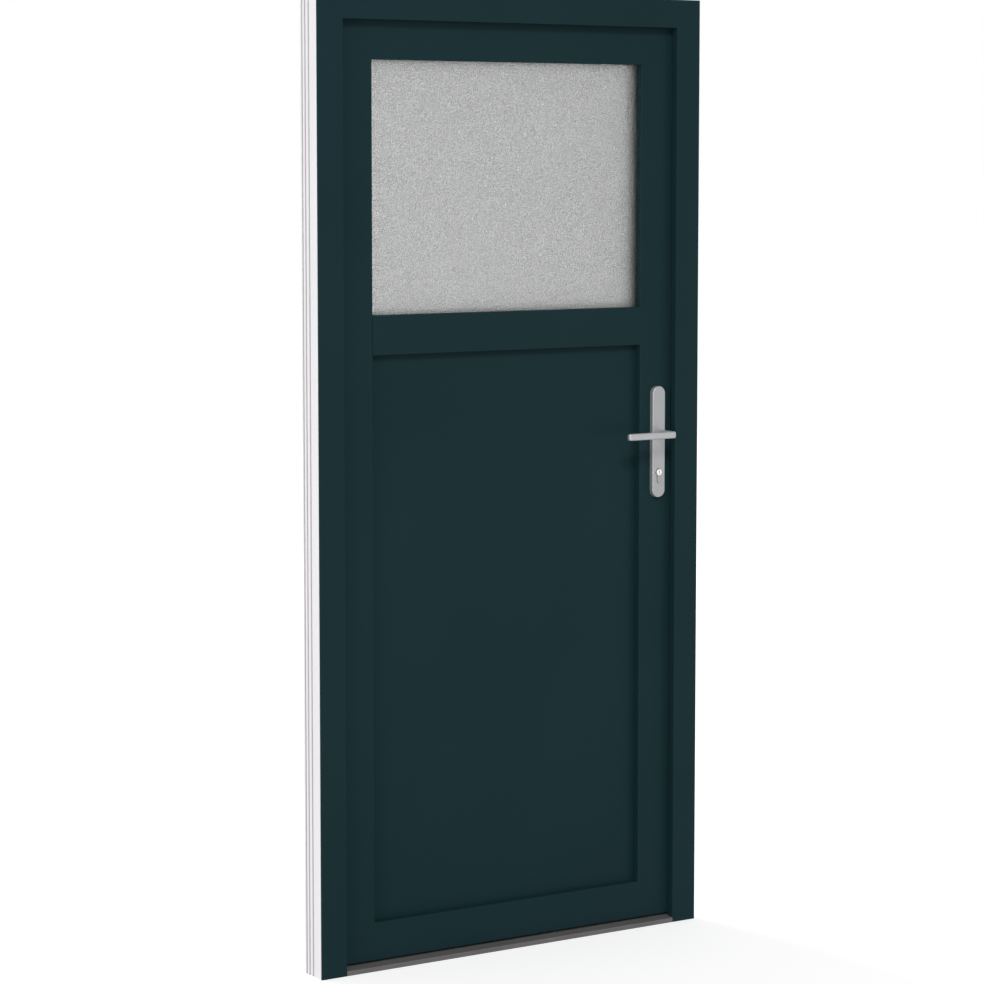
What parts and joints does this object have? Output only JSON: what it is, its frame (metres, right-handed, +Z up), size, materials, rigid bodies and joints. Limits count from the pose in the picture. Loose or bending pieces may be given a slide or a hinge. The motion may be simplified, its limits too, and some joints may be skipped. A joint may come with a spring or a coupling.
{
  "type": "side entrance door",
  "caption": "Plastic-framed side entrance door with its frame: inward opening leaf, obscured glass above a plain panel, long-plate lever handle, profile cylinder and low metal threshold.",
  "frame": {"origin": "middle of the threshold's underside, halfway through the depth of the frame", "axes": "+X along the wall towards the lock side, seen from outside; +Y from outside to inside; +Z up"},
  "size_m": [0.98, 0.212, 2.08],
  "materials": {
    "foiled_profile": "dark foil outside, white inside, fine grain",
    "foiled_panel": "dark foil outside, white inside, fine grain",
    "white_plastic": "satin white",
    "galvanised_steel": "galvanised",
    "threshold_aluminium": "mill finish, brushed along its length",
    "seal_rubber": "matt black",
    "obscured_glass": "fine grained, obscured",
    "clear_glass": "clear",
    "spacer": "matt black",
    "block_plastic": "plain",
    "lock_steel": "zinc plated",
    "screw_steel": "zinc plated",
    "hinge_paint": "satin white",
    "handle_aluminium": "satin anodised",
    "cylinder_nickel": "nickel plated"
  },
  "bodies": {
    "frame": {"hinge_jamb": "foiled_profile", "lock_jamb": "foiled_profile", "frame_head": "foiled_profile", "hinge_jamb_steel": "galvanised_steel", "lock_jamb_steel": "galvanised_steel", "head_steel": "galvanised_steel", "threshold": "threshold_aluminium", "frame_seal": "seal_rubber", "main_strike": "lock_steel", "upper_strike": "lock_steel", "lower_strike": "lock_steel", "frame_screws": "screw_steel", "hinge_pins": "hinge_paint", "lower_hinge_frame_half": "hinge_paint", "middle_hinge_frame_half": "hinge_paint", "upper_hinge_frame_half": "hinge_paint"},
    "leaf": {"hinge_stile": "foiled_profile", "lock_stile": "foiled_profile", "top_rail": "foiled_profile", "bottom_rail": "foiled_profile", "transom": "foiled_profile", "hinge_stile_steel": "galvanised_steel", "lock_stile_steel": "galvanised_steel", "top_rail_steel": "galvanised_steel", "bottom_rail_steel": "galvanised_steel", "transom_steel": "galvanised_steel", "outer_pane": "obscured_glass", "inner_pane": "clear_glass", "glass_spacer": "spacer", "infill_panel": "foiled_panel", "glass_gasket": "seal_rubber", "panel_gasket": "seal_rubber", "glass_beads": "white_plastic", "panel_beads": "white_plastic", "setting_blocks": "block_plastic", "leaf_seal": "seal_rubber", "bottom_seal": "seal_rubber", "lock_faceplate": "lock_steel", "leaf_screws": "screw_steel", "lock_case": "lock_steel", "upper_lock_box": "lock_steel", "lower_lock_box": "lock_steel", "outer_handle_plate": "handle_aluminium", "inner_handle_plate": "handle_aluminium", "plate_screws": "screw_steel", "cylinder_body": "cylinder_nickel", "lower_hinge_leaf_half": "hinge_paint", "middle_hinge_leaf_half": "hinge_paint", "upper_hinge_leaf_half": "hinge_paint"},
    "handle": {"outer_lever": "handle_aluminium", "inner_lever": "handle_aluminium", "spindle": "lock_steel", "follower": "lock_steel"},
    "latch": {"latch_bolt": "lock_steel"},
    "key": {"cylinder_plugs": "cylinder_nickel", "cylinder_cam": "cylinder_nickel"},
    "deadbolt": {"deadbolt": "lock_steel"},
    "upper_bolt": {"upper_bolt": "lock_steel"},
    "lower_bolt": {"lower_bolt": "lock_steel"},
    "rods": {"drive_rods": "lock_steel"}
  },
  "joints": [
    {"name": "leaf_swing", "type": "hinge", "parent": "frame", "child": "leaf", "pos_m": [-0.46, 0.067, 0], "axis": [0, 0, 1], "range_deg": [0, 100]},
    {"name": "handle_turn", "type": "hinge", "parent": "leaf", "child": "handle", "pos_m": [0.391, 0, 1.1185], "axis": [0, -1, 0], "range_deg": [0, 40], "stiffness_Nm_per_rad": 1.2, "springref_deg": -34.38},
    {"name": "latch_slide", "type": "slide", "parent": "leaf", "child": "latch", "axis": [-1, 0, 0], "range_m": [0, 0.012]},
    {"name": "key_turn", "type": "hinge", "parent": "leaf", "child": "key", "pos_m": [0.391, 0, 1.0305], "axis": [0, -1, 0], "range_deg": [0, 360]},
    {"name": "deadbolt_slide", "type": "slide", "parent": "leaf", "child": "deadbolt", "axis": [1, 0, 0], "range_m": [0, 0.02]},
    {"name": "upper_bolt_slide", "type": "slide", "parent": "leaf", "child": "upper_bolt", "axis": [1, 0, 0], "range_m": [0, 0.02]},
    {"name": "lower_bolt_slide", "type": "slide", "parent": "leaf", "child": "lower_bolt", "axis": [1, 0, 0], "range_m": [0, 0.02]},
    {"name": "rods_slide", "type": "slide", "parent": "leaf", "child": "rods", "axis": [0, 0, 1], "range_m": [0, 0.02]}
  ],
  "couplings": [
    {"joint": "latch_slide", "follows": "handle_turn", "m_per_rad": 0.017187},
    {"joint": "deadbolt_slide", "follows": "rods_slide", "ratio": 1},
    {"joint": "upper_bolt_slide", "follows": "rods_slide", "ratio": 1},
    {"joint": "lower_bolt_slide", "follows": "rods_slide", "ratio": 1},
    {"joint": "key_turn", "follows": "rods_slide", "rad_per_m": 314.16}
  ]
}
